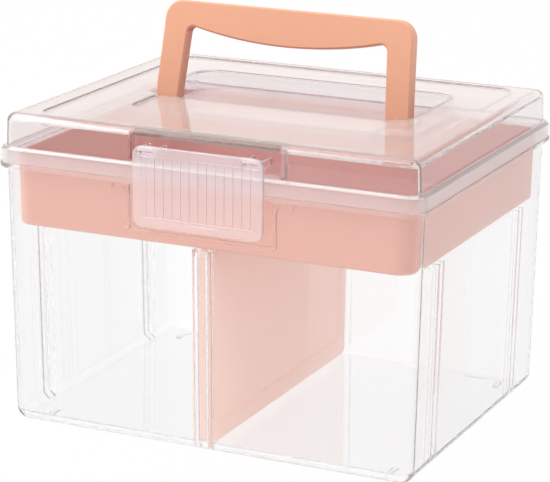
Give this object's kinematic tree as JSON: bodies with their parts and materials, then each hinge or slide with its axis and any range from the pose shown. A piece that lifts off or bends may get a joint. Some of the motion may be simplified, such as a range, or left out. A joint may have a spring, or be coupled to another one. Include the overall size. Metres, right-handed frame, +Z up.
{
  "type": "photo keeper case",
  "caption": "Clear plastic carry case with an upright divider, a lift-out tray, and a hinged lid with a front latch and a folding handle.",
  "frame": {"origin": "under the middle of the case, on the surface that its four feet stand on", "axes": "+X to the right along the long front, +Y to the back, +Z up"},
  "size_m": [0.26, 0.2199, 0.2353],
  "materials": {
    "clear_body": "clear, smooth and glossy",
    "clear_latch": "clear with a slight pink cast, glossy",
    "peach_handle": "opaque peach, satin",
    "pink_insert": "translucent salmon pink, smooth"
  },
  "bodies": {
    "tub": {"tub": "clear_body"},
    "lower_divider": {"lower_divider": "pink_insert"},
    "tray": {"tray": "pink_insert"},
    "lid": {"lid": "clear_body"},
    "handle": {"handle": "peach_handle"},
    "front_latch": {"front_latch": "clear_latch"}
  },
  "joints": [
    {"name": "divider_lift", "type": "slide", "parent": "tub", "child": "lower_divider", "axis": [0, 0, 1], "range_m": [0, 0.18]},
    {"name": "tray_lift", "type": "slide", "parent": "lower_divider", "child": "tray", "axis": [0, 0, 1], "range_m": [0, 0.08]},
    {"name": "lid_hinge", "type": "hinge", "parent": "tray", "child": "lid", "pos_m": [0, 0.1086, 0.1556], "axis": [-1, 0, 0], "range_deg": [0, 110]},
    {"name": "handle_fold", "type": "hinge", "parent": "lid", "child": "handle", "pos_m": [0, 0, 0.1778], "axis": [-1, 0, 0], "range_deg": [-25, 78]},
    {"name": "front_latch_swing", "type": "hinge", "parent": "lid", "child": "front_latch", "pos_m": [0, -0.1034, 0.172], "axis": [-1, 0, 0], "range_deg": [0, 95]}
  ]
}
